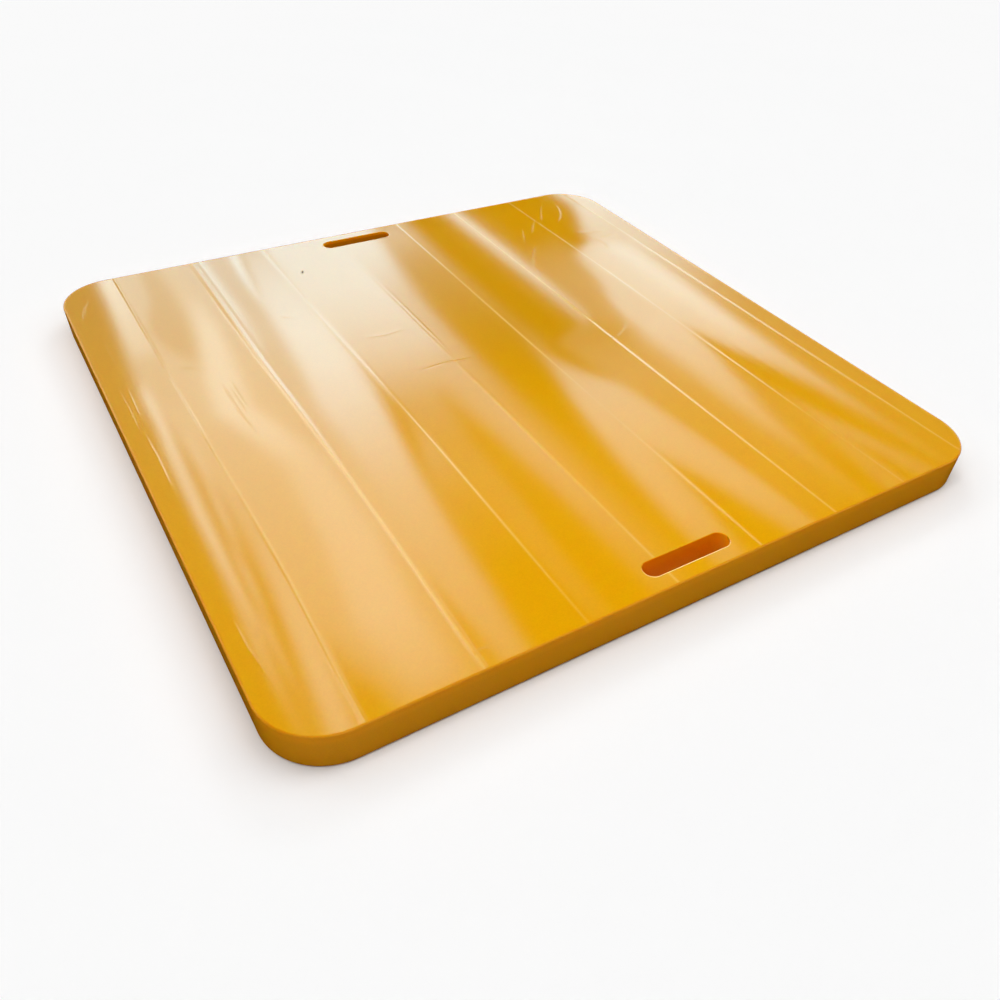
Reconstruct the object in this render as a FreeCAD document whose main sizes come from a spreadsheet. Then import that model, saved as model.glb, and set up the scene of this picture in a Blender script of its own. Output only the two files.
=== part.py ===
import FreeCAD, Part
import os

# Outrigger pad: one square slab of solid polyethylene, cut from sheet, planed on
# both faces, with rounded corners, eased edges and two obround hand slots right
# through, one along the middle of each of two opposite sides.
#
# Frame: millimetres, +Z up. The origin is the middle of the underside, so the
# slab lies on the XY plane. The two hand slots run along X, one near the -Y side
# and one near the +Y side.

os.makedirs("parts", exist_ok=True)

doc = FreeCAD.newDocument("OutriggerPad")

# ---------------------------------------------------------------- dimensions
sheet = doc.addObject("Spreadsheet::Sheet", "Dimensions")

ROWS = [
    ("pad_width",      "1000", "side of the square slab along X"),
    ("pad_depth",      "1000", "side of the square slab along Y"),
    ("pad_thickness",  "50",   "thickness of the slab"),
    ("corner_radius",  "75",   "radius of the four vertical corners, in plan"),
    ("edge_round",     "3",    "roundover along the top and bottom outer edges"),
    ("slot_length",    "124",  "hand slot, over its round ends"),
    ("slot_width",     "25",   "hand slot, across"),
    ("slot_margin",    "34",   "from the slab's side to the middle line of the slot"),
    ("slot_lip",       "1.5",  "small roundover along both lips of each hand slot"),
]
for i, (alias, value, note) in enumerate(ROWS, start=1):
    sheet.set("A%d" % i, alias)
    sheet.set("B%d" % i, value)
    sheet.setAlias("B%d" % i, alias)
    sheet.set("C%d" % i, note)
doc.recompute()


def origin_plane(body, role):
    for feature in body.Origin.OriginFeatures:
        if feature.Role == role:
            return feature
    raise RuntimeError("no origin plane " + role)


# ---------------------------------------------------------------------- body
pad = doc.addObject("PartDesign::Body", "outrigger_pad")
pad.Label = "outrigger_pad"

# ---- outline: a square with four tangent corner arcs, centred on the origin
outline = pad.newObject("Sketcher::SketchObject", "Outline")
outline.AttachmentSupport = [(origin_plane(pad, "XY_Plane"), "")]
outline.MapMode = "FlatFace"

V = FreeCAD.Vector
a, r = 500.0, 75.0
b = a - r
QUARTER = 1.5707963267948966
UP = V(0, 0, 1)


def line(sketch, p, q):
    return sketch.addGeometry(Part.LineSegment(V(*p, 0), V(*q, 0)), False)


def arc(sketch, centre, radius, start, end):
    circle = Part.Circle(V(*centre, 0), UP, radius)
    return sketch.addGeometry(Part.ArcOfCircle(circle, start, end), False)


g_bottom = line(outline, (-b, -a), (b, -a))
g_se = arc(outline, (b, -b), r, 3 * QUARTER, 4 * QUARTER)
g_right = line(outline, (a, -b), (a, b))
g_ne = arc(outline, (b, b), r, 0.0, QUARTER)
g_top = line(outline, (b, a), (-b, a))
g_nw = arc(outline, (-b, b), r, QUARTER, 2 * QUARTER)
g_left = line(outline, (-a, b), (-a, -b))
g_sw = arc(outline, (-b, -b), r, 2 * QUARTER, 3 * QUARTER)

import Sketcher

C = Sketcher.Constraint
for first, fp, second, sp in (
    (g_bottom, 2, g_se, 1),
    (g_se, 2, g_right, 1),
    (g_right, 2, g_ne, 1),
    (g_ne, 2, g_top, 1),
    (g_top, 2, g_nw, 1),
    (g_nw, 2, g_left, 1),
    (g_left, 2, g_sw, 1),
    (g_sw, 2, g_bottom, 1),
):
    outline.addConstraint(C("Tangent", first, fp, second, sp))
outline.addConstraint(C("Horizontal", g_bottom))
outline.addConstraint(C("Horizontal", g_top))
outline.addConstraint(C("Vertical", g_right))
outline.addConstraint(C("Vertical", g_left))
outline.addConstraint(C("Equal", g_se, g_ne))
outline.addConstraint(C("Equal", g_ne, g_nw))
outline.addConstraint(C("Equal", g_nw, g_sw))
# the front-left and back-right arc centres lie symmetric about the origin
outline.addConstraint(C("Symmetric", g_sw, 3, g_ne, 3, -1, 1))
c_width = outline.addConstraint(C("DistanceX", g_left, 2, g_right, 1, 2 * a))
outline.setExpression("Constraints[%d]" % c_width, "Dimensions.pad_width")
c_depth = outline.addConstraint(C("DistanceY", g_bottom, 2, g_top, 1, 2 * a))
outline.setExpression("Constraints[%d]" % c_depth, "Dimensions.pad_depth")
c_radius = outline.addConstraint(C("Radius", g_se, r))
outline.setExpression("Constraints[%d]" % c_radius, "Dimensions.corner_radius")

slab = pad.newObject("PartDesign::Pad", "Slab")
slab.Profile = outline
slab.setExpression("Length", "Dimensions.pad_thickness")
doc.recompute()
slab_volume = slab.Shape.Volume


# ---- hand slots: obround holes right through
def slot_sketch(name, side):
    """An obround on the underside plane; side is -1 for the -Y slot, +1 for +Y."""
    sk = pad.newObject("Sketcher::SketchObject", name)
    sk.AttachmentSupport = [(origin_plane(pad, "XY_Plane"), "")]
    sk.MapMode = "FlatFace"
    half, rad, yc = 49.5, 12.5, side * 466.0
    g_lo = line(sk, (-half, yc - rad), (half, yc - rad))
    g_re = arc(sk, (half, yc), rad, -QUARTER, QUARTER)
    g_hi = line(sk, (half, yc + rad), (-half, yc + rad))
    g_le = arc(sk, (-half, yc), rad, QUARTER, 3 * QUARTER)
    sk.addConstraint(C("Tangent", g_lo, 2, g_re, 1))
    sk.addConstraint(C("Tangent", g_re, 2, g_hi, 1))
    sk.addConstraint(C("Tangent", g_hi, 2, g_le, 1))
    sk.addConstraint(C("Tangent", g_le, 2, g_lo, 1))
    sk.addConstraint(C("Horizontal", g_lo))
    # round ends symmetric about the Y axis
    sk.addConstraint(C("Symmetric", g_le, 3, g_re, 3, -2))
    c = sk.addConstraint(C("Radius", g_re, rad))
    sk.setExpression("Constraints[%d]" % c, "Dimensions.slot_width / 2")
    c = sk.addConstraint(C("DistanceX", g_le, 3, g_re, 3, 2 * half))
    sk.setExpression("Constraints[%d]" % c, "Dimensions.slot_length - Dimensions.slot_width")
    if side < 0:
        c = sk.addConstraint(C("DistanceY", g_re, 3, -1, 1, -yc))
    else:
        c = sk.addConstraint(C("DistanceY", -1, 1, g_re, 3, yc))
    sk.setExpression("Constraints[%d]" % c, "Dimensions.pad_depth / 2 - Dimensions.slot_margin")
    return sk


def cut_through(name, sketch):
    pocket = pad.newObject("PartDesign::Pocket", name)
    pocket.Profile = sketch
    pocket.Type = 1                 # through all
    # the sketch lies on the underside, so the cut runs up through the slab
    pocket.Reversed = True
    return pocket


slot_front = cut_through("HandSlotFront", slot_sketch("SlotFront", -1))
doc.recompute()
front_volume = slot_front.Shape.Volume
slot_back = cut_through("HandSlotBack", slot_sketch("SlotBack", +1))
doc.recompute()
back_volume = slot_back.Shape.Volume


# ---- eased edges
def face_edges(shape, wanted):
    """Names of the horizontal edges on the top and bottom planes that lie on the
    outer outline (wanted 'outer') or around a slot (wanted 'slot')."""
    names = []
    zlo, zhi = shape.BoundBox.ZMin, shape.BoundBox.ZMax
    for k, edge in enumerate(shape.Edges, start=1):
        bb = edge.BoundBox
        if bb.ZLength > 1e-3:
            continue
        if min(abs(bb.ZMin - zlo), abs(bb.ZMin - zhi)) > 1e-3:
            continue
        cx, cy = bb.Center.x, bb.Center.y
        margin = float(sheet.slot_margin)
        near_slot = (abs(cx) <= float(sheet.slot_length) / 2 + 1
                     and abs(abs(cy) - (float(sheet.pad_depth) / 2 - margin))
                     <= float(sheet.slot_width) / 2 + 1)
        if (wanted == "slot") == near_slot:
            names.append("Edge%d" % k)
    return names


outer_names = face_edges(slot_back.Shape, "outer")
rounding = pad.newObject("PartDesign::Fillet", "EdgeRoundover")
rounding.Base = (slot_back, outer_names)
rounding.setExpression("Radius", "Dimensions.edge_round")
doc.recompute()
round_volume = rounding.Shape.Volume

lip_names = face_edges(rounding.Shape, "slot")
lips = pad.newObject("PartDesign::Fillet", "SlotLips")
lips.Base = (rounding, lip_names)
lips.setExpression("Radius", "Dimensions.slot_lip")
doc.recompute()
lip_volume = lips.Shape.Volume

pad.Tip = lips
pad.Placement = FreeCAD.Placement(V(0, 0, 0), FreeCAD.Rotation())
doc.recompute()

# ------------------------------------------------------------------- checks
for obj in doc.Objects:
    if "Invalid" in obj.State or "Error" in obj.State:
        raise RuntimeError("failed feature: %s %s" % (obj.Name, obj.State))
for sk in (outline,):
    if sk.solve() != 0:
        raise RuntimeError("sketch does not solve: " + sk.Name)

length, width = float(sheet.slot_length), float(sheet.slot_width)
thick = float(sheet.pad_thickness)
slot_area = (length - width) * width + 3.141592653589793 * (width / 2) ** 2
for name, before, after in (("front slot", slab_volume, front_volume),
                            ("back slot", front_volume, back_volume)):
    removed = before - after
    if abs(removed - slot_area * thick) > 1.0:
        raise RuntimeError("%s removed %.1f mm3, not %.1f" % (name, removed, slot_area * thick))
if not (round_volume < back_volume and lip_volume < round_volume):
    raise RuntimeError("an edge roundover removed nothing")

shape = pad.Shape
if shape.isNull() or not shape.isValid() or len(shape.Solids) != 1:
    raise RuntimeError("the slab is not one valid solid")
box = shape.optimalBoundingBox(False)
print("outer edges rounded: %d, slot lip edges: %d" % (len(outer_names), len(lip_names)))
print("box  X %.3f..%.3f  Y %.3f..%.3f  Z %.3f..%.3f"
      % (box.XMin, box.XMax, box.YMin, box.YMax, box.ZMin, box.ZMax))
print("volume %.1f mm3, one solid, valid" % shape.Volume)

shape.exportStep(os.path.join("parts", pad.Label + ".step"))
print("wrote parts/%s.step" % pad.Label)
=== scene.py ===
import math
import random

import bpy
import numpy as np
from mathutils import Matrix, Vector
from mathutils.geometry import delaunay_2d_cdt


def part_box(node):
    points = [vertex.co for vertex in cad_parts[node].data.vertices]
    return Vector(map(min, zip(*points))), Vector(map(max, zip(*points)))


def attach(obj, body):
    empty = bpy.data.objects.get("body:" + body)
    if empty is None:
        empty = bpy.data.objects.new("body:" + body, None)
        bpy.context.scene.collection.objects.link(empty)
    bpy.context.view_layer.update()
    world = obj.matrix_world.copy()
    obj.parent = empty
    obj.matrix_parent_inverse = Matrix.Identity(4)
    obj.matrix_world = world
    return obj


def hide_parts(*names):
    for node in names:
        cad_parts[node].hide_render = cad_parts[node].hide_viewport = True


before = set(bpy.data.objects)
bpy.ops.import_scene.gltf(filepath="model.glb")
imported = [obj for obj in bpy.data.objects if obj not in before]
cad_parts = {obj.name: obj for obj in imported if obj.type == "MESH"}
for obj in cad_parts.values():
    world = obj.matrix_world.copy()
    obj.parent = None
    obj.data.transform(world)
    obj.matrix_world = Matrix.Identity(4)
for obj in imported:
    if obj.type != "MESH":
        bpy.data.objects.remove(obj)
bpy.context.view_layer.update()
scene = bpy.context.scene

# ------------------------------------------------------------------ sizes, mm
lo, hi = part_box("outrigger_pad")
SIDE = (hi.x - lo.x) * 1000.0          # side of the square slab
HALF = SIDE / 2
THICK = (hi.z - lo.z) * 1000.0
CORNER = 75.0                          # corner radius in plan
EDGE = 3.0                             # roundover of the outer edges
SLOT_L, SLOT_W, SLOT_Y = 124.0, 25.0, HALF - 34.0
LIP = 1.5                              # roundover of the slot lips

# Lines between the planing passes on the upper face. Each runs along Y, the way
# the sheet went through the planer, and wanders a little: its drift and the slope of
# its flanks are given at seven stations from the front side to the back side.
STATIONS = (-450.0, -300.0, -150.0, 0.0, 150.0, 300.0, 450.0)
PASSES = (
    # x, width at the stations, step, swing of the passes' dish, drift, slope of the
    # two flanks of a ridge there, slope of a one-sided rise there
    (-410.2, (2.9, 2.9, 2.9, 2.2, 2.1, 2.1, 2.1), 0.010, 0.7, (-3.5, 1.5, 2.0, 0.0, -0.5, 0.0, 0.0),
     (0.030, 0.020, 0.014, 0.034, 0.040, 0.042, 0.040), (0, 0, 0, 0, 0, 0, 0)),
    (-284.4, (2.9, 2.9, 2.9, 3.4, 4.0, 4.4, 4.4), -0.010, -0.8, (-1.0, 2.5, 2.5, 1.6, -1.4, -0.1, 0.0),
     (0.045, 0.030, 0.020, 0.045, 0.086, 0.088, 0.088), (0, 0, 0, 0, 0, 0, 0)),
    (-160.0, (2.4, 2.4, 2.4, 3.0, 3.0, 3.0, 3.0), 0.010, 1.0, (0.0, 1.5, 2.5, 1.5, -2.0, -2.5, -2.5),
     (0.0, 0.0, 0.0, -0.01, -0.040, -0.05, -0.05), (0.038, 0.038, 0.038, 0.0, 0, 0, 0)),
    (-38.7, (2.9, 2.9, 2.9, 2.9, 2.9, 2.9, 2.9), -0.010, -0.5, (1.0, 1.0, 1.2, 0.6, 0.0, 0.0, 0.3),
     (0.0, 0.0, 0.0, 0.012, 0.022, 0.028, 0.028), (0, 0, 0, 0, 0, 0, 0)),
    (-32.8, (0.9, 0.7, 0.5, 0.5, 2.9, 2.9, 2.9), 0.000, -0.3, (-4.0, -4.0, -3.5, 0.0, 0.5, 0.5, 1.0),
     (0.0, 0.0, 0.0, 0.012, 0.020, 0.022, 0.022), (-0.05, -0.04, -0.02, 0.0, 0, 0, 0)),
    (90.6, (2.0, 1.8, 1.8, 0.8, 0.6, 1.3, 1.3), 0.010, 1.0, (-2.5, -2.5, -2.0, -1.5, -0.5, 1.0, 2.0),
     (0, 0, 0, 0, 0, 0, 0), (0.022, 0.016, 0.0, 0.0, 0.0, 0.060, 0.054)),
    (215.4, (2.4, 2.4, 2.6, 2.6, 0.8, 0.5, 0.5), 0.010, -1.0, (-3.5, -3.5, -3.5, -3.0, -1.5, -1.0, -1.0),
     (0, 0, 0, 0, 0, 0, 0), (-0.026, -0.030, -0.044, -0.050, -0.010, 0.000, 0.000)),
    (339.0, (1.7, 1.7, 1.6, 2.2, 1.6, 0.6, 0.6), -0.010, 1.0, (-2.5, -2.5, -2.0, 0.0, 1.5, 0.5, -2.0),
     (0, 0, 0, 0, 0, 0, 0), (0.010, 0.020, 0.026, 0.002, -0.030, -0.040, -0.040)),
    (464.3, (2.8, 2.8, 2.8, 2.8, 2.8, 2.8, 2.8), 0.010, -0.8, (-2.0, -1.0, -1.0, 0.0, 0.5, 0.0, 0.0),
     (0.016, 0.020, 0.018, 0.020, 0.022, 0.016, 0.008), (0, 0, 0, 0, 0, 0, 0)),
)
SWING = 0.003                          # slope of the passes' slight dish
# how strongly each line's crest is painted with a pale highlight, at the same stations
CREST_HIGHLIGHTS = (
    (0.10, 0.22, 0.30, 0.10, 0.10, 0.10, 0.10),
    (0.24, 0.34, 0.46, 0.20, 0.10, 0.10, 0.10),
    (0.14, 0.40, 0.46, 0.20, 0.10, 0.15, 0.20),
    (0.28, 0.44, 0.44, 0.20, 0.00, 0.00, 0.00),
    (0, 0, 0, 0, 0, 0, 0),
    (0.15, 0.22, 0.00, 0.60, 0.60, 0.50, 0.35),
    (0.28, 0.36, 0.44, 0.55, 0.70, 0.75, 0.65),
    (0.10, 0.26, 0.36, 0.10, 0.45, 0.45, 0.35),
    (0.22, 0.30, 0.34, 0.35, 0.35, 0.30, 0.20),
)

# Scuffs and scratches on the upper face: width, slope of the flanks, points (mm)
SCUFFS = (
    (1.6, 0.022, ((388, 458), (368, 426), (346, 388))),
    (1.6, 0.026, ((418, 452), (411, 428), (402, 408), (389, 390), (368, 370))),
    (2.6, 0.034, ((376, 326), (394, 317), (408, 312), (446, 302))),
    (1.8, 0.016, ((340, 404), (322, 382), (300, 350))),
    (2.5, 0.024, ((288, 318), (265, 286), (247, 257), (236, 234), (228, 200))),
    (1.8, 0.024, ((392, 300), (400, 276), (402, 257), (390, 230))),
    (1.5, 0.008, ((300, 386), (284, 354), (266, 320))),
    (2.6, 0.026, ((454, 288), (424, 284), (398, 290))),
    (1.7, 0.024, ((262, 2), (240, -16), (214, -30))),
    (1.6, 0.016, ((-460, 444), (-472, 414), (-478, 382))),
    (1.5, 0.008, ((-466, 436), (-478, 400), (-482, 372))),
    (1.2, 0.014, ((-469, 330), (-470, 276), (-470, 218))),
    (1.4, 0.018, ((-481, 185), (-479, 112), (-480, 40))),
    (1.2, 0.018, ((-469, 174), (-471, 82))),
    (1.4, 0.018, ((-476, 68), (-474, -5), (-475, -84))),
    (1.4, 0.016, ((-480, -306), (-479, -357), (-473, -405))),
    (1.2, 0.055, ((-353, 132), (-354, 46), (-349, -20))),
    (1.2, 0.045, ((-341, 126), (-342, 44))),
    (1.2, 0.040, ((-347, 110), (-347, 30))),
    (3.4, 0.016, ((-410, 194), (-366, 163), (-316, 152))),
    (1.8, -0.045, ((-102, 24), (-50, 27), (2, 24))),
    (2.0, 0.040, ((-132, 146), (-96, 139), (-60, 142))),
    (1.6, -0.030, ((-222, 262), (-205, 250), (-190, 246))),
    (1.2, 0.045, ((-284, -472), (-268, -475))),
)
SCRATCHES = 11                         # the first of them are also dull


def smooth(t):
    t = np.clip(t, 0.0, 1.0)
    return t * t * (3.0 - 2.0 * t)


def bell(d, w):
    return np.exp(-(d / w) ** 2)


def along(values, spread=45.0):
    """A smooth curve of y through the seven station values."""
    y = np.arange(-560.0, 560.5, 1.0)
    v = np.interp(y, STATIONS, values)
    t = np.arange(-2 * spread, 2 * spread + 1)
    kernel = np.exp(-(t / spread) ** 2)
    v = np.convolve(np.pad(v, int(2 * spread), "edge"), kernel / kernel.sum(), "valid")
    return lambda q: np.interp(q, y, v)


DRIFT = [along(p[4]) for p in PASSES]
WIDTH = [along(p[1]) for p in PASSES]
FLANK = [along(p[5]) for p in PASSES]
CLIMB = [along(p[6]) for p in PASSES]
CREST_HIGHLIGHT_AT = [along(c) for c in CREST_HIGHLIGHTS]


def wander(y, k):
    """Slow sideways drift of a planing line of the underside, in mm."""
    return 0.5 * np.sin(y / 173.0 + 1.7 * k) + 0.3 * np.sin(y / 71.0 + 2.9 * k)


def scuff(x, y, points, width):
    """Share of a scuff's height: a soft ridge along its points that dies out at both ends."""
    best = np.full(x.shape, 1e9)
    place = np.zeros(x.shape)
    total = sum(math.dist(a, b) for a, b in zip(points, points[1:]))
    run = 0.0
    for (x0, y0), (x1, y1) in zip(points, points[1:]):
        n = math.dist((x0, y0), (x1, y1))
        t = np.clip(((x - x0) * (x1 - x0) + (y - y0) * (y1 - y0)) / n ** 2, 0.0, 1.0)
        d = np.hypot(x - x0 - t * (x1 - x0), y - y0 - t * (y1 - y0))
        near = d < best
        best = np.where(near, d, best)
        place = np.where(near, run + t * n, place)
        run += n
    ends = smooth(place / (0.3 * total)) * smooth((total - place) / (0.3 * total))
    return bell(best, width) * ends


# the passes' dish: the slope swings from line to line, and this is its height
dish_x = np.arange(-HALF - 20, HALF + 20.05, 0.1)
dish_h = np.cumsum(np.interp(dish_x, [-HALF - 20] + [p[0] for p in PASSES] + [HALF + 20],
                             [0.0] + [SWING * p[3] for p in PASSES] + [0.0])) * 0.1
dish_h -= dish_h.max()

# long shallow furrows that the cutter left, nearly along Y
rng = random.Random(41)
FURROWS = [(rng.uniform(-490, 490), rng.choice((4.0, 6.0, 9.0, 13.0)),
            rng.uniform(0.4, 1.0) * rng.choice((-1, 1)), rng.uniform(-420, 420),
            rng.uniform(120, 420), rng.uniform(-0.02, 0.02)) for _ in range(46)]


RECESS = 0.62                          # how far the face's mean level lies under its highest ridge


def top_relief(x, y):
    """Height of the planed upper face over its highest level, in mm (never above 0)."""
    h = np.interp(x, dish_x, dish_h)
    for x0, w, a, y0, ly, lean in FURROWS:
        h = h + a * 0.0016 * w * bell(x - x0 - lean * (y - y0), w) * bell(y - y0, ly)
    for k, (px, _, step, _, _, _, _) in enumerate(PASSES):
        d, w = x - px - DRIFT[k](y), WIDTH[k](y)
        amp = 1 + 0.06 * np.sin(y / 61.0 + 1.3 * k) + 0.04 * np.sin(y / 23.0 + 0.7 * k)
        h = h + FLANK[k](y) * w / 0.858 * amp * bell(d, w)
        h = h + CLIMB[k](y) * w * 0.886 * (0.6 + 0.4 * amp) * np.tanh(1.128 * d / w) * bell(d, 80.0)
        h = h + step * (smooth(d / 3.0 + 0.5) - 0.5) * bell(d, 25.0)
    for w, slope, points in SCUFFS:
        px, py = [p[0] for p in points], [p[1] for p in points]
        m = ((x > min(px) - 4 * w) & (x < max(px) + 4 * w) & (y > min(py) - 4 * w) & (y < max(py) + 4 * w))
        if m.any():
            bump = np.zeros_like(h)
            bump[m] = scuff(x[m], y[m], points, w) * slope * w / 0.858
            h = h + bump
    h = h + 0.03 * np.sin(x / 37.0 + y / 400.0) * np.sin(y / 260.0 + 1.0)
    return h - RECESS


def bottom_relief(x, y):
    """Depth of the planed underside above its lowest level, in mm (never below 0)."""
    h = np.zeros_like(x)
    for k in range(-4, 5):
        px = k * 124.0 + 31.0
        d = x - px - wander(y, k + 20)
        h = h - 0.07 * bell(d, 1.8) + 0.06 * np.cos(2 * np.pi * d / 124.0) * bell(d, 62.0)
    h = h + 0.04 * np.sin(x / 51.0 + 0.8) * np.sin(y / 230.0)
    return h + 0.17


# ------------------------------------------------------------ plan of the slab
def outline(offset, xs, ys, n_arc=28):
    """The rounded square inset by offset: points and outward normals, anticlockwise.
    xs and ys are the stations along the straight sides."""
    r = CORNER - offset
    a = HALF - offset
    b = HALF - CORNER
    pts, nrm = [], []
    xs = [x for x in xs if -b < x < b]
    ys = [y for y in ys if -b < y < b]

    def arc(cx, cy, start):
        for i in range(n_arc + 1):
            t = start + (math.pi / 2) * i / n_arc
            pts.append((cx + r * math.cos(t), cy + r * math.sin(t)))
            nrm.append((math.cos(t), math.sin(t)))

    for x in xs:
        pts.append((x, -a)); nrm.append((0, -1))
    arc(b, -b, -math.pi / 2)
    for y in ys:
        pts.append((a, y)); nrm.append((1, 0))
    arc(b, b, 0)
    for x in reversed(xs):
        pts.append((x, a)); nrm.append((0, 1))
    arc(-b, b, math.pi / 2)
    for y in reversed(ys):
        pts.append((-a, y)); nrm.append((-1, 0))
    arc(-b, -b, math.pi)
    return np.array(pts), np.array(nrm)


def obround(offset, side, xs, n_arc=26):
    """The hand slot grown by offset: points and normals towards the slot's inside, clockwise."""
    r = SLOT_W / 2 + offset
    half = (SLOT_L - SLOT_W) / 2
    yc = side * SLOT_Y
    pts, nrm = [], []
    xs = [x for x in xs if -half + 0.4 < x < half - 0.4]
    for x in xs:                                   # upper straight, left to right
        pts.append((x, yc + r)); nrm.append((0, -1))
    for i in range(n_arc + 1):
        t = math.pi / 2 - math.pi * i / n_arc
        pts.append((half + r * math.cos(t), yc + r * math.sin(t)))
        nrm.append((-math.cos(t), -math.sin(t)))
    for x in reversed(xs):
        pts.append((x, yc - r)); nrm.append((0, 1))
    for i in range(n_arc + 1):
        t = -math.pi / 2 - math.pi * i / n_arc
        pts.append((-half + r * math.cos(t), yc + r * math.sin(t)))
        nrm.append((-math.cos(t), -math.sin(t)))
    return np.array(pts), np.array(nrm)


def stations(base, clusters, offsets, limit):
    """Grid lines every base mm, closer together round each cluster."""
    vals = list(np.arange(-limit, limit + 0.1, base))
    for c in clusters:
        vals = [v for v in vals if abs(v - c) > max(offsets) + 0.4 * base]
        vals += [c + o for o in offsets] + [c - o for o in offsets if o > 0]
    vals = sorted(v for v in vals if abs(v) < limit)
    out = [vals[0]]
    for v in vals[1:]:
        if v - out[-1] > 0.3:
            out.append(v)
    return out


FINE = (0.0, 0.7, 1.4, 2.1, 2.9, 3.9, 5.2, 7.0)
top_x = stations(6.0, [p[0] for p in PASSES], FINE, 494.0)
top_y = stations(8.0, [], (0.0,), 494.0)
low_x = stations(9.0, [k * 124.0 + 31.0 for k in range(-4, 4)], (0.0, 1.2, 2.6, 5.0), 494.0)
low_y = stations(12.0, [], (0.0,), 494.0)
slot_x = [x for x in top_x if abs(x) < 49.0]


def inside_rounded(x, y, inset):
    a, b = HALF - inset, HALF - CORNER
    dx, dy = np.maximum(np.abs(x) - b, 0), np.maximum(np.abs(y) - b, 0)
    return np.hypot(dx, dy) < (a - b)


def outside_slots(x, y, grow):
    half = (SLOT_L - SLOT_W) / 2
    keep = np.ones_like(x, bool)
    for side in (-1, 1):
        d = np.hypot(np.maximum(np.abs(x) - half, 0), y - side * SLOT_Y)
        keep &= d > SLOT_W / 2 + grow
    return keep


def follow(gx, gy):
    """Shifts the grid sideways so that its close lines keep to the planing lines."""
    shift = np.zeros_like(gx)
    for k, p in enumerate(PASSES):
        shift += DRIFT[k](gy) * bell(gx - p[0], 22.0) * (0.5 if k in (3, 4) else 1.0)
    return gx + shift


def scuff_points():
    pts = []
    for w, _, points in SCUFFS:
        for (x0, y0), (x1, y1) in zip(points, points[1:]):
            n = math.dist((x0, y0), (x1, y1))
            tx, ty = (x1 - x0) / n, (y1 - y0) / n
            for i in range(int(n / 4.0) + 1):
                s = (i + 0.5) * n / (int(n / 4.0) + 1)
                for o in (-2.2, -1.4, -0.7, 0.0, 0.7, 1.4, 2.2):
                    pts.append((x0 + tx * s - ty * o * w, y0 + ty * s + tx * o * w))
    for i in range(11):                  # a close patch round the speck of dirt
        for j in range(13):
            pts.append((SPECK[0] + (i - 5) * 0.8 + 0.13, SPECK[1] + (j - 6) * 1.0 + 0.07))
    return np.array(pts)


SPECK = (-132.0, 388.0)


def triangulate(loops, xs, ys, margin, extra=None):
    """A plane face inside loops[0] and outside the other loops, through the grid points."""
    gx, gy = np.meshgrid(np.array(xs), np.array(ys), indexing="ij")
    gx, gy = gx.ravel(), gy.ravel()
    if extra is not None:
        gx = follow(gx, gy)
        gx, gy = np.append(gx, extra[:, 0]), np.append(gy, extra[:, 1])
    keep = inside_rounded(gx, gy, EDGE + margin) & outside_slots(gx, gy, LIP + margin)
    pts = [tuple(p) for loop in loops for p in loop]
    edges, start = [], 0
    for loop in loops:
        n = len(loop)
        edges += [(start + i, start + (i + 1) % n) for i in range(n)]
        start += n
    n_loop = len(pts)
    pts += list(zip(gx[keep], gy[keep]))
    vs, _, fs, orig, _, _ = delaunay_2d_cdt([Vector(p) for p in pts], edges, [], 1, 1e-4, True)
    if len(vs) != len(pts):
        raise RuntimeError("the face's points ran together")
    index = [o[0] for o in orig]
    P = np.array(pts)
    faces = []
    for f in fs:
        t = [index[i] for i in f]
        c = P[t].mean(0)
        if outside_slots(c[:1], c[1:], LIP)[0] and inside_rounded(c[:1], c[1:], EDGE - 0.2)[0]:
            faces.append(t)
    return P, faces, n_loop


# ------------------------------------------------- the slab as one closed mesh
verts, normals, faces = [], [], []


def slope_normals(fn, x, y, sign):
    e = 0.25
    gx = (fn(x + e, y) - fn(x - e, y)) / (2 * e)
    gy = (fn(x, y + e) - fn(x, y - e)) / (2 * e)
    n = np.stack([-gx, -gy, np.ones_like(x)], 1)
    n /= np.linalg.norm(n, axis=1)[:, None]
    return n * sign


rings = 5                               # rings round each quarter roundover
loop0, nrm0 = outline(EDGE, top_x, top_y)
loop_f, nrm_f = obround(LIP, -1, slot_x)
loop_b, nrm_b = obround(LIP, +1, slot_x)

# upper face
P, tri, n_loop = triangulate([loop0, loop_f, loop_b], top_x, top_y, 1.5, scuff_points())
h = top_relief(P[:, 0], P[:, 1])
top_start = 0
verts.append(np.column_stack([P, THICK + h]))
normals.append(slope_normals(top_relief, P[:, 0], P[:, 1], 1.0))
faces += tri
count = len(P)
n_top = count

# underside
Q, tri_q, _ = triangulate([loop0, loop_f, loop_b], low_x, low_y, 3.0)
hq = bottom_relief(Q[:, 0], Q[:, 1])
low_start = count
verts.append(np.column_stack([Q, hq]))
normals.append(-slope_normals(lambda a, b: bottom_relief(a, b), Q[:, 0], Q[:, 1], 1.0))
faces += [[low_start + i for i in reversed(t)] for t in tri_q]
count += len(Q)
n_flat = count


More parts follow.
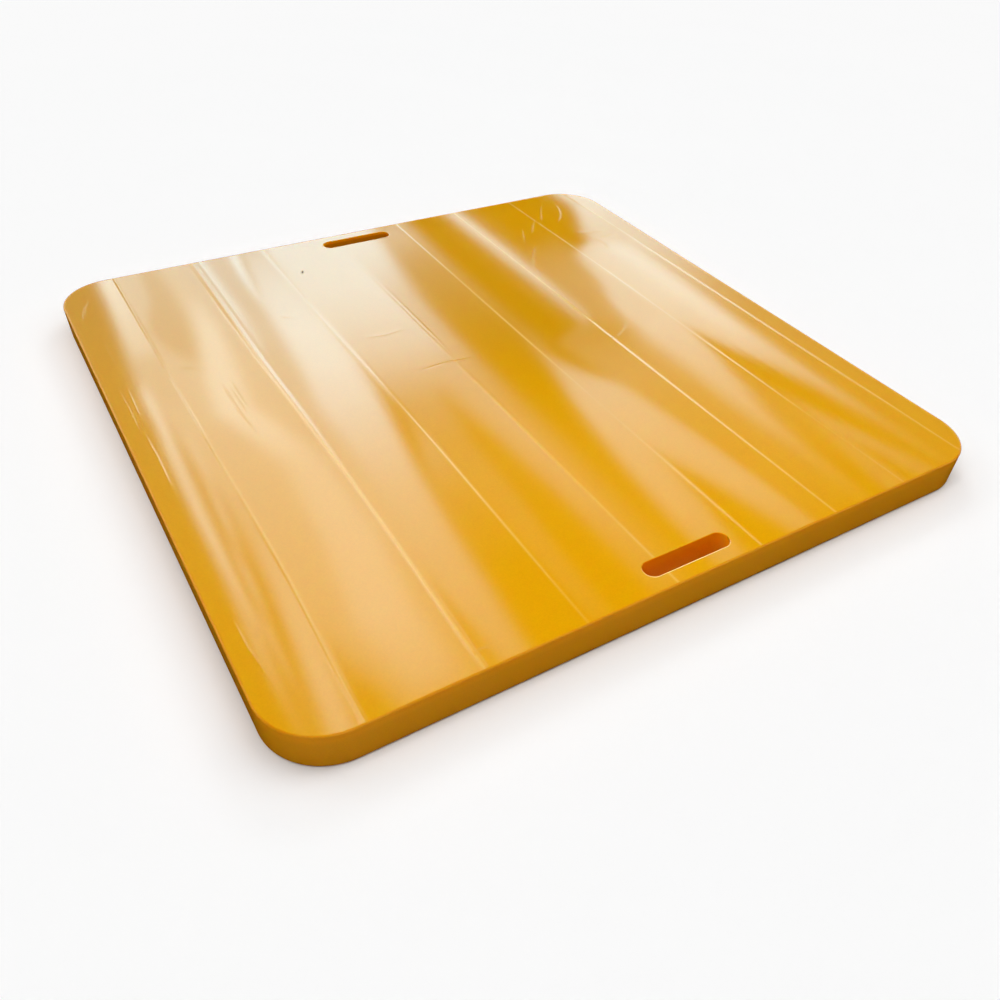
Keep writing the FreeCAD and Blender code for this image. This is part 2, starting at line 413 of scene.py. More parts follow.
def wall(loop, nrm, first, r, levels):
    """Skins the wall between the upper and lower faces along one loop: a roundover,
    the upright wall and the lower roundover. nrm points out of the solid."""
    global count
    n = len(loop)
    prof = []                            # (outward offset, z, normal out, normal up, share of the relief)
    for i in range(1, rings + 1):
        t = (math.pi / 2) * i / rings
        prof.append((r * math.sin(t), THICK - r * (1 - math.cos(t)), math.sin(t), math.cos(t), 1 - math.sin(t)))
    for z in levels:
        prof.append((r, z, 1.0, 0.0, 0.0))
    for i in range(rings):
        t = (math.pi / 2) * i / rings
        prof.append((r * math.cos(t), r * (1 - math.sin(t)), math.cos(t), -math.sin(t), -math.sin(t)))
    h_top = top_relief(loop[:, 0], loop[:, 1])
    h_low = bottom_relief(loop[:, 0], loop[:, 1])
    prev = [first + i for i in range(n)]
    for off, z, no, nu, w in prof:
        xy = loop + nrm * off
        lift = h_top * w if w >= 0 else h_low * (-w)
        verts.append(np.column_stack([xy, np.full(n, z) + lift]))
        normals.append(np.column_stack([nrm * no, np.full(n, nu)]))
        cur = [count + i for i in range(n)]
        count += n
        for i in range(n):
            j = (i + 1) % n
            faces.append([prev[i], cur[i], cur[j], prev[j]])
        prev = cur
    last = [low_start + (first - top_start) + i for i in range(n)]
    for i in range(n):
        j = (i + 1) % n
        faces.append([prev[i], last[i], last[j], prev[j]])


levels = list(np.linspace(THICK - EDGE - 5, EDGE + 5, 6))
wall(loop0, nrm0, 0, EDGE, levels)
levels = list(np.linspace(THICK - LIP - 5, LIP + 5, 5))
wall(loop_f, nrm_f, len(loop0), LIP, levels)
wall(loop_b, nrm_b, len(loop0) + len(loop_f), LIP, levels)

V = np.vstack(verts) / 1000.0
N = np.vstack(normals)
mesh = bpy.data.meshes.new("pad_slab")
mesh.from_pydata(V.tolist(), [], faces)
mesh.validate()
mesh.update()
pad = bpy.data.objects.new("pad_slab", mesh)
scene.collection.objects.link(pad)
mesh.polygons.foreach_set("use_smooth", [True] * len(mesh.polygons))
mesh.normals_split_custom_set_from_vertices([tuple(v) for v in N])

# ----------------------------------------------------- planed faces and cut walls
# 0 on the planed faces, 1 on the sawn and routed walls
cut = np.ones(len(V), np.float32)
cut[:n_flat] = 0.0
lip_zone = (np.abs(V[:, 0]) < 0.067) & (np.abs(np.abs(V[:, 1]) * 1000 - SLOT_Y) < 17.0) & (V[:, 2] > 0.0475)
cut[lip_zone] = 0.0
attr = mesh.attributes.new("cut_wall", "FLOAT", "POINT")
attr.data.foreach_set("value", cut)
# 1 on the walls of the hand slots
in_slot = ((np.abs(V[:, 0]) < 0.066) & (np.abs(np.abs(V[:, 1]) * 1000 - SLOT_Y) < 16.0)).astype(np.float32) * cut
lip_turn = lip_zone & (N[:, 1] < -0.05)            # the lips that look to the front
in_slot = np.where(lip_turn, smooth((1.0 - N[:, 2]) / 0.7), in_slot).astype(np.float32)
attr = mesh.attributes.new("slot_wall", "FLOAT", "POINT")
attr.data.foreach_set("value", in_slot)
# painted light and shade: the walls are painted brighter just under the upper edge, where light soaks into the
# plastic, and painted darker lower down and at the foot
depth = (THICK / 1000 - V[:, 2]) * 1000
glow = 1.00 + 0.26 * smooth((depth - 1.5) / 2.5) * np.exp(-np.maximum(depth - 4.0, 0) / 4.0) + 0.10 * smooth((depth - 3.0) / 5.0) - 0.06 * smooth((depth - 20) / 30)
glow[V[:, 2] < 0.004] = 0.95
# painted light in the slots: their walls are painted brighter near the top and darker lower down, and the back slot is
# painted darker all over (painted shade)
slot_painted_light = (0.80 + 0.85 * np.exp(-depth / 17.0)) * np.where(V[:, 1] > 0, 0.58, 1.0)
glow = np.where((in_slot > 0.5) & (cut > 0.5), slot_painted_light, glow)
mx, my = V[:, 0] * 1000, V[:, 1] * 1000
# painted shade and light on the faces: one broad patch painted darker and one painted lighter, where the light falls
# unevenly
painted_patches = (1.0 - 0.08 * np.exp(-((mx - 120) / 130) ** 2 - ((my - 60) / 230) ** 2)
         + 0.04 * np.exp(-((mx - 330) / 160) ** 2 - ((my - 420) / 100) ** 2))
glow = np.where(cut > 0.5, glow, painted_patches)          # the faces take the painted patches of light and shade
# painted light: the lips that look to the front are painted brighter as they turn into the slot
glow = np.where(lip_turn, 1.0 + 0.5 * in_slot, glow)
# painted highlight: the slots' eased lips are painted pale yellow where they slope away from the front left
pale = lip_zone * smooth((N[:, 0] * 0.5 + N[:, 1] * 0.86 - 0.06) / 0.28) * (depth < 2.2) * 0.8
# painted highlight: a pale yellow line painted along the crest of each planing line
for k in range(len(PASSES)):
    d = mx[:n_top] - PASSES[k][0] - DRIFT[k](my[:n_top])
    pale[:n_top] = np.maximum(pale[:n_top], CREST_HIGHLIGHT_AT[k](my[:n_top]) * bell(d, 1.7))
attr = mesh.attributes.new("painted_highlight", "FLOAT", "POINT")
attr.data.foreach_set("value", pale.astype(np.float32))
attr = mesh.attributes.new("painted_light_and_shade", "FLOAT", "POINT")
attr.data.foreach_set("value", glow.astype(np.float32))
# 1 along the dull scratches
dull = np.zeros(len(V))
for w, _, points in SCUFFS[:SCRATCHES]:
    dull[:n_top] = np.maximum(dull[:n_top], scuff(V[:n_top, 0] * 1000, V[:n_top, 1] * 1000, points, w))
attr = mesh.attributes.new("dull", "FLOAT", "POINT")
attr.data.foreach_set("value", dull.astype(np.float32))
# 1 on a speck of dirt near the back slot
sx, sy = V[:, 0] * 1000 - SPECK[0], V[:, 1] * 1000 - SPECK[1]
sp = np.clip(1.7 - np.hypot((sx - 0.40 * sy) / 1.5, sy / 3.2), 0, 1)
sp[V[:, 2] < 0.04] = 0
attr = mesh.attributes.new("speck", "FLOAT", "POINT")
attr.data.foreach_set("value", sp.astype(np.float32))


# ------------------------------------------------------------------- material
def plastic():
    mat = bpy.data.materials.new("amber_polyethylene")
    mat.use_nodes = True
    nt = mat.node_tree
    nt.nodes.clear()
    new, link = nt.nodes.new, nt.links.new
    out = new("ShaderNodeOutputMaterial")
    bsdf = new("ShaderNodeBsdfPrincipled")
    link(bsdf.outputs[0], out.inputs[0])
    bsdf.inputs["IOR"].default_value = 1.53
    tc = new("ShaderNodeTexCoord")

    def attribute(name):
        n = new("ShaderNodeAttribute")
        n.attribute_name = name
        return n.outputs["Fac"]

    def noise(scale, detail, stretch=(1, 1, 1)):
        m = new("ShaderNodeMapping")
        m.inputs["Scale"].default_value = stretch
        link(tc.outputs["Object"], m.inputs["Vector"])
        n = new("ShaderNodeTexNoise")
        n.inputs["Scale"].default_value = scale
        n.inputs["Detail"].default_value = detail
        link(m.outputs[0], n.inputs["Vector"])
        return n.outputs[0]

    def mix(kind, fac, a, b):
        n = new("ShaderNodeMixRGB")
        n.blend_type = kind
        for i, v in enumerate((fac, a, b)):
            if isinstance(v, (tuple, float)):
                n.inputs[i].default_value = v
            else:
                link(v, n.inputs[i])
        return n.outputs[0]

    def math_node(op, a, b):
        n = new("ShaderNodeMath")
        n.operation = op
        for i, v in enumerate((a, b)):
            if isinstance(v, float):
                n.inputs[i].default_value = v
            else:
                link(v, n.inputs[i])
        return n.outputs[0]

    def span(value, lo, hi, from_lo=0.0, from_hi=1.0):
        n = new("ShaderNodeMapRange")
        n.inputs["From Min"].default_value = from_lo
        n.inputs["From Max"].default_value = from_hi
        n.inputs["To Min"].default_value = lo
        n.inputs["To Max"].default_value = hi
        link(value, n.inputs["Value"])
        return n.outputs[0]

    wall_share, slot_share = attribute("cut_wall"), attribute("slot_wall")

    # colour: the pigment is not quite even and the cut walls are a deeper orange; the slot
    # walls take a brighter, redder tone, painted light standing for light through the plastic
    tone = mix("MIX", noise(3.2, 3.0), (0.715, 0.340, 0.0006, 1), (0.750, 0.365, 0.0012, 1))
    cut_tone = mix("MIX", noise(9.0, 4.0, (1, 1, 3)), (0.715, 0.288, 0.0006, 1), (0.755, 0.313, 0.0012, 1))
    tone = mix("MIX", wall_share, tone, cut_tone)
    # painted light: the slot walls are given a brighter, redder tone
    tone = mix("MIX", slot_share, tone, (0.880, 0.325, 0.0010, 1))
    # painted light and shade: brighter wall tops and slot walls, darker wall feet and back slot, and lighter and
    # darker patches on the faces
    tone = mix("MULTIPLY", 1.0, tone, attribute("painted_light_and_shade"))
    # painted highlight: pale yellow on the slots' lips and along the crests of the planing lines
    tone = mix("MIX", attribute("painted_highlight"), tone, (1.000, 0.690, 0.180, 1))
    speck = attribute("speck")
    mottle = span(noise(520.0, 2.0), 0.97, 1.03, 0.3, 0.7)
    tone = mix("MULTIPLY", 1.0, tone, mottle)
    tone = mix("MIX", speck, tone, (0.130, 0.065, 0.004, 1))
    link(tone, bsdf.inputs["Base Color"])

    # roughness: glossy planed faces with duller and brighter lanes, duller walls
    lanes = span(noise(7.0, 3.0, (3.0, 0.35, 1.0)), 0.042, 0.062, 0.35, 0.65)
    lanes = mix("MIX", attribute("dull"), lanes, (0.20, 0.20, 0.20, 1))
    saw = span(noise(26.0, 3.0, (1, 1, 0.4)), 0.18, 0.24)
    rough = mix("MIX", wall_share, lanes, saw)
    link(mix("MIX", speck, rough, (0.9, 0.9, 0.9, 1)), bsdf.inputs["Roughness"])

    # relief too fine for the mesh: a faint orange peel and the planer's hair lines on
    # the faces, shallow level router marks on the walls
    peel = math_node("MULTIPLY", noise(230.0, 2.0), 0.9)
    hair = math_node("MULTIPLY", noise(60.0, 3.0, (14.0, 0.22, 1.0)), 0.40)
    face = math_node("ADD", peel, hair)
    marks = math_node("MULTIPLY", noise(40.0, 3.0, (0.6, 0.6, 16.0)), 2.2)
    grain = math_node("ADD", marks, math_node("MULTIPLY", noise(420.0, 2.0), 2.0))
    relief = mix("MIX", wall_share, face, grain)
    bump = new("ShaderNodeBump")
    bump.inputs["Strength"].default_value = 1.0
    bump.inputs["Distance"].default_value = 0.000008
    link(relief, bump.inputs["Height"])
    link(bump.outputs[0], bsdf.inputs["Normal"])

    # light soaks a few millimetres into the plastic
    bsdf.inputs["Subsurface Weight"].default_value = 0.5
    bsdf.inputs["Subsurface Radius"].default_value = (1.0, 0.38, 0.06)
    bsdf.inputs["Subsurface Scale"].default_value = 0.007
    return mat


pad.data.materials.append(plastic())
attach(pad, "root")
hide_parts("outrigger_pad")


# ---------------------------------------------------------------------- stage
# Soft boxes: name, place, what they face, width, height, radiance
BOXES = (
    ("top", (0.1, 0.1, 4.4), (0.0, 0.0, 0.0), 6.0, 6.0, 1.01),
    ("over_front", (0.0, -0.52, 0.95), (0.0, -0.5, 0.0), 1.6, 0.4, 3.6),
    ("over_right", (0.75, 0.85, 1.2), (0.4, 0.4, 0.0), 0.7, 0.5, 4.8),
    ("over_left", (-1.2, 1.0, 1.6), (-0.3, 0.2, 0.0), 1.2, 0.8, 2.2),
    ("over_back", (0.0, 0.9, 1.2), (0.0, 0.45, 0.0), 1.6, 0.4, 0.75),
    ("right", (2.2, 0.2, 1.6), (0.3, 0.0, 0.0), 1.0, 2.0, 0.60),
    ("left", (-2.2, 0.0, 1.6), (-0.3, 0.0, 0.0), 1.0, 2.0, 0.55),
)
FLOOR_ALBEDO, FLOOR_LEVEL = 0.82, 0.955


def stage_mesh(name, points, polys):
    m = bpy.data.meshes.new(name)
    m.from_pydata(points, [], polys)
    o = bpy.data.objects.new(name, m)
    scene.collection.objects.link(o)
    return o


def box_light(x, y, z, box, m=10):
    """Radiance that an unshaded level white surface takes from one soft box."""
    _, where, at, size_x, size_y, radiance = box
    d = (Vector(at) - Vector(where)).normalized()
    q = d.to_track_quat("-Z", "Y")
    ex, ey = q @ Vector((1, 0, 0)), q @ Vector((0, 1, 0))
    total = np.zeros_like(x)
    for i in range(m):
        for j in range(m):
            p = Vector(where) + ex * ((i + 0.5) / m - 0.5) * size_x + ey * ((j + 0.5) / m - 0.5) * size_y
            vx, vy, vz = p.x - x, p.y - y, p.z - z
            r2 = vx * vx + vy * vy + vz * vz
            r = np.sqrt(r2)
            facing = np.maximum(-(vx * d.x + vy * d.y + vz * d.z) / r, 0.0)
            total += facing * np.maximum(vz / r, 0.0) / r2
    return total * size_x * size_y / (m * m) / math.pi * radiance


def stage_floor():
    """A pale level floor. It glows a little where the soft boxes fall off, so that it
    stays one even pale tone as far as the horizon."""
    n = 96
    radii = [0.12 * 1.145 ** i for i in range(46)]
    xy = [(0.0, 0.0)] + [(r * math.cos(2 * math.pi * i / n), r * math.sin(2 * math.pi * i / n))
                         for r in radii for i in range(n)]
    polys = [(0, 1 + i, 1 + (i + 1) % n) for i in range(n)]
    for k in range(len(radii) - 1):
        a, b = 1 + k * n, 1 + (k + 1) * n
        polys += [(a + i, b + i, b + (i + 1) % n, a + (i + 1) % n) for i in range(n)]
    o = stage_mesh("floor", [(x, y, -0.0002) for x, y in xy], polys)
    X, Y = np.array(xy).T
    lit = sum(box_light(X, Y, 0.0, box) for box in BOXES)
    glow = o.data.attributes.new("floor_glow", "FLOAT", "POINT")
    glow.data.foreach_set("value", np.maximum(FLOOR_LEVEL - FLOOR_ALBEDO * lit, 0.0).astype(np.float32))
    mat = bpy.data.materials.new("pale_floor")
    mat.use_nodes = True
    b = mat.node_tree.nodes["Principled BSDF"]
    b.inputs["Base Color"].default_value = (FLOOR_ALBEDO, FLOOR_ALBEDO, FLOOR_ALBEDO, 1)
    b.inputs["Roughness"].default_value = 1.0
    b.inputs["Specular IOR Level"].default_value = 0.0
    b.inputs["Emission Color"].default_value = (1, 1, 1, 1)
    att = mat.node_tree.nodes.new("ShaderNodeAttribute")
    att.attribute_name = "floor_glow"
    mat.node_tree.links.new(att.outputs["Fac"], b.inputs["Emission Strength"])
    mat.cycles.emission_sampling = "NONE"
    o.data.materials.append(mat)
    o.visible_glossy = False
    return o


stage_floor()

# The light that the planed face mirrors: long feathered strips under a ceiling
# 2.4 m over the slab, most of them along Y. A row is a name, then from back to
# front (y, left, right, radiance), then the feather at the left, right, back and
# front ends. All in mm as mirrored in the slab, carried up to the ceiling below.
STRIPS = (
    ("out", ((580, -700, -503, 1.9), (200, -700, -503, 1.8), (0, -700, -503, 1.4), (-200, -700, -503, 0.8), (-580, -700, -503, 0.3)), 6, 4, 24, 24),
    ("lrim", ((580, -503, -436, 0.42), (200, -503, -450, 0.42), (0, -503, -462, 0.35), (-150, -503, -450, 0.28), (-300, -503, -444, 0.15), (-580, -503, -446, 0.03)), 4, 6, 24, 24),
    ("A", ((580, -436, -120, 3), (400, -440, -120, 3), (250, -450, -140, 3.1), (100, -462, -166, 3.3), (0, -448, -180, 3.2), (-150, -434, -202, 2.9), (-300, -428, -216, 2.6), (-400, -422, -224, 2.2), (-480, -430, -232, 1.4), (-580, -450, -240, 0.4)), 10, 6, 24, 24),
    ("A2", ((580, -163, 60, 4.6), (430, -163, 40, 5.1), (300, -163, 16, 5.4), (200, -163, 8, 5.1), (100, -163, -2, 4.2), (50, -163, -8, 3.4), (0, -166, -12, 2.3), (-50, -166, -14, 1.35), (-150, -166, -14, 0.7), (-300, -164, -14, 0.45), (-450, -160, -14, 0.3), (-580, -160, -14, 0)), 4, 11, 24, 24),
    ("dim", ((330, -34, 60, 4.2), (250, -35, 60, 3.2), (150, -36, 60, 2.7), (60, -36, 60, 2.2), (0, -36, 60, 1.5), (-100, -36, 60, 0.9), (-250, -36, 60, 0.6), (-450, -36, 60, 0.25)), 3, 3, 120, 24),
    ("gap", ((480, 43, 86, 2.4), (420, 37, 86, 1.8), (360, 24, 86, 1.1), (300, 14, 86, 0.7), (200, 1, 86, 0.4), (100, -6, 86, 0.15), (0, -8, 84, 0.04), (-100, -8, 78, 0.01), (-300, -8, 60, 0.01), (-580, -8, 60, 0.01)), 10, 7, 24, 24),
    ("core", ((400, -226, -163, 4.8), (300, -232, -163, 5.6), (200, -238, -163, 6.3), (100, -244, -166, 6.4), (0, -258, -178, 5.8), (-100, -256, -194, 4.6), (-200, -260, -208, 3.4), (-350, -268, -221, 2.4), (-480, -266, -232, 1.6), (-580, -262, -240, 0.6)), 8, 8, 120, 24),
    ("tan2", ((580, -250, -228, 2.9), (400, -262, -232, 3.1), (300, -268, -238, 3.2), (210, -266, -248, 3.6)), 7, 7, 24, 24),
    ("halo", ((580, -283, -264, 5.6), (300, -283, -264, 5.8), (180, -283, -269, 4.6)), 2, 6, 24, 24),
    ("ray", ((580, -212, -202, 6.4), (430, -227, -216, 6.6), (340, -231, -225, 6)), 3, 3, 24, 24),
    ("ray2", ((580, -199, -191, 2.6), (450, -213, -204, 2.6), (360, -222, -215, 3.4)), 3, 3, 24, 24),
    ("tan1", ((580, -366, -342, 2.1), (400, -378, -340, 2.1), (310, -406, -335, 2.1), (240, -396, -340, 2.1), (165, -362, -350, 2.5)), 6, 9, 24, 40),
    ("tanA", ((230, -448, -414, 2.8), (120, -456, -414, 2.9)), 8, 4, 40, 40),
    ("pale", ((330, -336, -308, 4.1), (260, -345, -310, 4.6), (150, -368, -322, 5), (50, -384, -335, 5.3), (-20, -360, -315, 5), (-100, -342, -292, 4.2), (-250, -355, -290, 4.1), (-380, -374, -308, 3.9), (-480, -364, -306, 2.6)), 10, 10, 60, 24),
    ("edge", ((560, -432, -414, 4.6), (400, -438, -414, 4.4), (250, -446, -414, 3.8)), 5, 4, 24, 24),
    ("st1", ((140, -458, -447, 5), (0, -463, -453, 6.4), (-180, -466, -457, 6.4), (-330, -470, -462, 4.2), (-440, -474, -467, 1.4)), 2.5, 3, 24, 90),
    ("st2", ((20, -432, -427, 4.2), (-150, -443, -438, 5), (-340, -456, -450, 3.6), (-440, -461, -455, 1.2)), 3, 3, 24, 90),
    ("st3", ((-230, -425, -416, 3.2), (-350, -436, -416, 3.4), (-440, -444, -420, 3.4), (-500, -450, -426, 3), (-560, -454, -432, 1.6)), 5, 5, 24, 24),
    ("df1", ((-380, -413, -407, 1.2), (-430, -416, -398, 0.5), (-470, -419, -386, 0.1), (-560, -424, -370, 0.01)), 3, 9, 24, 24),
    ("df2", ((-300, -283, -279, 2), (-360, -284, -273, 0.9), (-440, -285, -266, 0.3), (-560, -286, -262, 0.1)), 2, 4, 24, 24),
    ("w2", ((-120, -172, -164, 2.2), (-170, -188, -164, 1.5), (-240, -206, -164, 0.6), (-300, -214, -164, 0.25), (-380, -220, -172, 0.02), (-480, -230, -186, 0.01), (-580, -238, -194, 0.01)), 8, 3, 60, 24),
    ("w1", ((-60, -103, -93, 0.7), (-150, -112, -82, 0.15), (-270, -117, -76, 0.06), (-310, -119, -74, 0.02), (-400, -130, -72, 0.01), (-580, -134, -72, 0.01)), 6, 5, 24, 24),
    ("g40", ((0, -72, -38, 2.5), (-50, -74, -38, 2), (-150, -74, -37, 1.7), (-300, -70, -37, 1.2), (-420, -70, -37, 0.6), (-560, -70, -37, 0.1)), 7, 3, 60, 24),
    ("l37", ((-80, -44, -36, 2.6), (-200, -44, -36, 2.5), (-350, -44, -36, 1.6), (-480, -44, -36, 0.8)), 4, 2, 60, 24),
    ("r83", ((580, 84, 108, 2.5), (440, 84, 106, 2.2), (350, 84, 102, 1.6), (260, 84, 100, 0.9), (100, 84, 98, 0.6), (0, 84, 104, 0.5)), 3, 14, 24, 24),
    ("h207", ((580, 206, 233, 3.6), (440, 206, 232, 4.2), (200, 206, 231, 4.4), (90, 207, 228, 4), (20, 207, 225, 2.8), (-40, 207, 221, 1.6)), 14, 9, 24, 24),
    ("fan", ((260, 240, 330, 0.5), (150, 236, 296, 0.85), (50, 232, 268, 0.9), (0, 124, 258, 0.5), (-70, 128, 256, 0.8), (-130, 140, 254, 0.9), (-220, 158, 252, 0.6), (-350, 168, 252, 0.35), (-480, 172, 254, 0.15)), 12, 8, 60, 24),
    ("tng", ((20, 80, 84, 1.2), (-20, 78, 87, 1.8), (-60, 74, 97, 2.3), (-100, 66, 114, 2.6), (-140, 57, 142, 2.9), (-200, 46, 152, 2.7), (-300, 33, 163, 2.2), (-400, 24, 171, 1.7), (-480, 20, 174, 1.1), (-580, 18, 178, 0.4)), 4, 5, 24, 24),
    ("twd", ((-285, 83, 86, 0.9), (-320, 79, 93, 0.3), (-360, 76, 104, 0.08), (-400, 72, 115, 0.03), (-480, 59, 132, 0.01), (-580, 48, 148, 0.01)), 3, 4, 24, 24),
    ("B", ((335, 410, 480, 1.4), (310, 396, 480, 2.4), (285, 386, 480, 2.9), (266, 366, 480, 3.1), (254, 338, 480, 3.2), (240, 330, 480, 3.5), (210, 322, 480, 3.7), (150, 310, 480, 3.8), (50, 272, 480, 3.9), (-50, 255, 480, 3.4), (-150, 258, 480, 2.9), (-250, 258, 480, 2.3), (-320, 258, 480, 1.6), (-400, 260, 480, 0.8), (-500, 262, 480, 0.3)), 11, 6, 14, 24),
    ("Bh", ((235, 388, 430, 4.6), (100, 394, 436, 4.8), (-50, 388, 432, 4.4), (-150, 394, 424, 3.4)), 11, 9, 40, 40),
    ("Bl", ((230, 320, 334, 3.2), (100, 294, 334, 3.3), (0, 263, 334, 3.3)), 10, 3, 24, 24),
    ("v1", ((-50, 331, 335, 1.6), (-85, 327, 343, 0.3), (-120, 321, 352, 0.06), (-150, 317, 361, 0.04), (-200, 305, 380, 0.03), (-280, 290, 399, 0.03), (-400, 279, 411, 0.02), (-580, 268, 418, 0.01)), 4, 6, 24, 24),
    ("v1l", ((-150, 320, 329, 0.25), (-220, 306, 328, 0.35), (-320, 290, 328, 0.25), (-420, 286, 324, 0.1)), 6, 2, 24, 24),
    ("v2", ((-275, 333, 336, 0.7), (-340, 325, 349, 0.8), (-400, 316, 366, 0.75), (-460, 305, 382, 0.6), (-560, 296, 400, 0.3)), 4, 4, 24, 24),
    ("v3", ((-385, 334, 336, 0.3), (-440, 332, 348, 0.02), (-560, 332, 366, 0.01)), 2, 4, 24, 24),
    ("rim", ((230, 447, 480, 3), (150, 443, 480, 2.1), (50, 439, 480, 1.3), (-50, 434, 480, 0.5), (-250, 426, 480, 0.22), (-500, 426, 480, 0.1)), 8, 4, 24, 24),
    ("rim2", ((580, 456, 560, 3.8), (440, 453, 560, 3.7), (400, 436, 560, 3.5), (370, 420, 560, 3.3), (345, 406, 560, 3.2), (320, 396, 560, 3.1), (300, 392, 560, 3), (220, 466, 560, 2.9), (130, 468, 560, 2.1), (50, 468, 560, 1), (-50, 468, 560, 0.5), (-250, 468, 560, 0.3), (-560, 468, 560, 0.08)), 13, 20, 24, 24),
    ("l464", ((250, 462, 469, 4), (50, 462, 468, 2.6), (-100, 462, 467, 0.9)), 3, 3, 60, 60),
)
RISE = 2.4
EYE = (-558.0, -952.6, 664.8)
SPREAD = (EYE[2] + RISE * 1000) / EYE[2]


def soft_step(t):
    return 0.5 * (1 + np.tanh(t))


def strip_light(u, v):
    e = np.full(u.shape, 0.01)
    for _, rows, fl, fr, fb, ff in STRIPS:
        ys = [r[0] for r in rows][::-1]
        left = np.interp(v, ys, [r[1] for r in rows][::-1])
        right = np.interp(v, ys, [r[2] for r in rows][::-1])
        level = np.interp(v, ys, [r[3] for r in rows][::-1])
        m = soft_step((u - left) / fl) * soft_step((right - u) / fr)
        m = m * soft_step((v - ys[0]) / ff * 2 + 1) * soft_step((ys[-1] - v) / fb * 2 + 1)
        e = e * (1 - m) + level * m
    return e


def ceiling():
    """One grid that glows in strips. Behind the slab the strips lie as in the table, and
    they repeat to the left and right; in front of it the same strips are turned round."""
    fine = np.arange(-0.9, 5.8, 0.034)
    gx = np.concatenate([np.arange(-14.0, -0.9, 0.11), fine, np.arange(5.8, 14.0, 0.11)])
    gy = np.concatenate([np.arange(-14.0, 0.6, 0.16), np.arange(0.6, 6.4, 0.06), np.arange(6.4, 14.0, 0.25)])
    X, Y = np.meshgrid(gx, gy, indexing="ij")
    turned = Y < 0
    x = np.where(turned, -X, X)
    y = np.abs(Y)
    u = EYE[0] + (x * 1000 - EYE[0]) / SPREAD
    v = EYE[1] + (y * 1000 - EYE[1]) / SPREAD
    period = 1110.0
    u = (u + 555.0) % period - 555.0
    aside = smooth((-0.6 - X) / 0.5)        # left of what the face mirrors to the camera
    warm = np.maximum(turned * 1.0, aside)
    e = strip_light(u, np.minimum(v, 560.0)) * np.where(turned, 0.38, 1.0) * (1 - 0.4 * aside)
    e = e * (1 - smooth((np.abs(Y) - 7.0) / 5.0)) + np.where(turned, 0.6, 1.4) * smooth((np.abs(Y) - 7.0) / 5.0)
    nx, ny = X.shape
    pts = np.column_stack([X.ravel(), Y.ravel(), np.full(X.size, THICK / 1000 + RISE)])
    idx = np.arange(nx * ny).reshape(nx, ny)
    polys = np.column_stack([idx[:-1, :-1].ravel(), idx[:-1, 1:].ravel(), idx[1:, 1:].ravel(), idx[1:, :-1].ravel()])
    o = stage_mesh("strip_ceiling", pts.tolist(), polys.tolist())
    # the light is bluer over the middle and warmer over the left side
    left = smooth((-275.0 - u) / 50.0)
    mid = smooth((u + 290.0) / 40.0) * smooth((70.0 - u) / 50.0) * smooth((v + 160.0) / 120.0)
    red = 0.50 + 0.13 * left - 0.05 * mid
    green = 0.84 + 0.07 * left - 0.035 * mid
    red, green, blue = red + (0.85 - red) * warm, green + (0.80 - green) * warm, 1.0 - 0.5 * warm
    tint = np.stack([e * red, e * green, e * blue], axis=-1).reshape(-1, 3)
    a = o.data.attributes.new("glow", "FLOAT_VECTOR", "POINT")
    a.data.foreach_set("vector", tint.ravel().astype(np.float32))
    mat = bpy.data.materials.new("strip_glow")
    mat.use_nodes = True
    nt = mat.node_tree
    nt.nodes.clear()
    out = nt.nodes.new("ShaderNodeOutputMaterial")
    em = nt.nodes.new("ShaderNodeEmission")
    em.inputs["Strength"].default_value = 1.0
    att = nt.nodes.new("ShaderNodeAttribute")
    att.attribute_name = "glow"
    nt.links.new(att.outputs["Color"], em.inputs["Color"])
    nt.links.new(em.outputs[0], out.inputs[0])
    mat.cycles.emission_sampling = "NONE"
    o.data.materials.append(mat)
    o.visible_camera = o.visible_diffuse = o.visible_shadow = o.visible_transmission = False
    return o


ceiling()


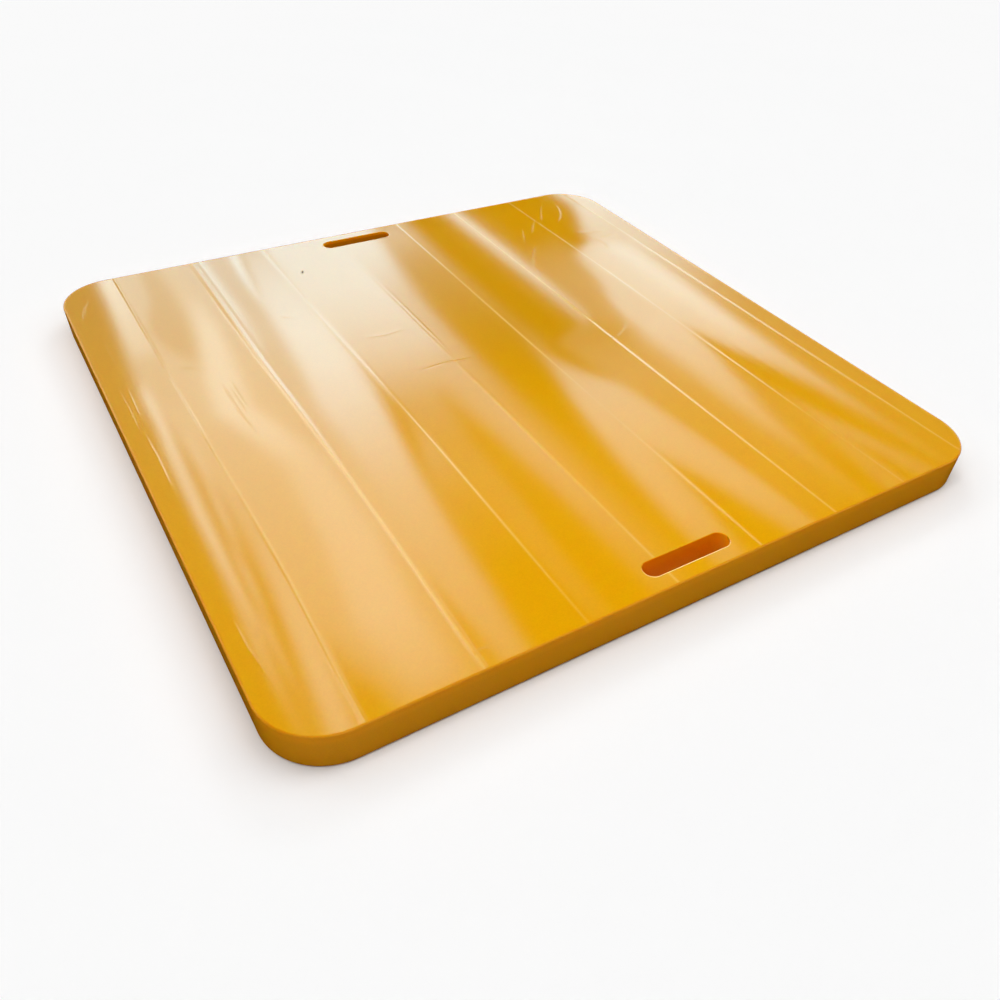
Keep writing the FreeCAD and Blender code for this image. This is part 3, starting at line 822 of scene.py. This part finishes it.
def horizon():
    """A level glow low down all round, brighter at the back, that only gleams at grazing angles."""
    n, r = 64, 13.9
    pts = [(r * math.cos(2 * math.pi * i / n), r * math.sin(2 * math.pi * i / n), z) for z in (0.02, 2.44) for i in range(n)]
    o = stage_mesh("horizon", pts, [(i, (i + 1) % n, n + (i + 1) % n, n + i) for i in range(n)])
    a = o.data.attributes.new("glow", "FLOAT", "POINT")
    a.data.foreach_set("value", [0.18 + 3.6 * float(smooth(0.1 + 0.9 * (0.5 * p[0] + 0.87 * p[1]) / r)) for p in pts])
    mat = bpy.data.materials.new("horizon_glow")
    mat.use_nodes = True
    nt = mat.node_tree
    nt.nodes.clear()
    out = nt.nodes.new("ShaderNodeOutputMaterial")
    em = nt.nodes.new("ShaderNodeEmission")
    em.inputs["Color"].default_value = (1.0, 0.95, 0.66, 1)
    att = nt.nodes.new("ShaderNodeAttribute")
    att.attribute_name = "glow"
    nt.links.new(att.outputs["Fac"], em.inputs["Strength"])
    nt.links.new(em.outputs[0], out.inputs[0])
    mat.cycles.emission_sampling = "NONE"
    o.data.materials.append(mat)
    o.visible_camera = o.visible_diffuse = o.visible_shadow = o.visible_transmission = False


horizon()


def softbox(name, where, at, size_x, size_y, radiance, colour=(1, 1, 1)):
    """A rectangular area light of the given radiance that faces the point at."""
    d = bpy.data.lights.new(name, "AREA")
    d.shape = "RECTANGLE"
    d.size, d.size_y = size_x, size_y
    d.energy = radiance * size_x * size_y * math.pi
    d.color = colour
    o = bpy.data.objects.new(name, d)
    scene.collection.objects.link(o)
    o.location = where
    o.rotation_mode = "QUATERNION"
    o.rotation_quaternion = (Vector(at) - Vector(where)).to_track_quat("-Z", "Y")
    o.visible_camera = False
    o.visible_glossy = False
    return o


for box in BOXES:
    softbox(*box)

world = bpy.data.worlds.new("studio")
scene.world = world
world.use_nodes = True
world.node_tree.nodes["Background"].inputs[0].default_value = (1, 1, 1, 1)
world.node_tree.nodes["Background"].inputs[1].default_value = 0.95
world.cycles_visibility.diffuse = False
world.cycles_visibility.glossy = False

# --------------------------------------------------------------------- camera
cam = bpy.data.cameras.new("camera")
cam.sensor_width = 36.0
cam.lens = 30.557
cam.shift_x, cam.shift_y = -0.0264, 0.0664
cam_o = bpy.data.objects.new("camera", cam)
scene.collection.objects.link(cam_o)
right = Vector((0.849127, -0.525844, 0.049715))
down = Vector((-0.338999, -0.614741, -0.712161))
ahead = Vector((0.405047, 0.587862, -0.700253))
M = Matrix((
    (right.x, -down.x, -ahead.x, -0.55805),
    (right.y, -down.y, -ahead.y, -0.95262),
    (right.z, -down.z, -ahead.z, 0.71480),
    (0, 0, 0, 1),
))
cam_o.matrix_world = M
scene.camera = cam_o

scene.view_settings.view_transform = "Standard"
scene.view_settings.look = "None"
scene.cycles.use_denoising = True
scene.cycles.diffuse_bounces = 5
scene.cycles.max_bounces = 8
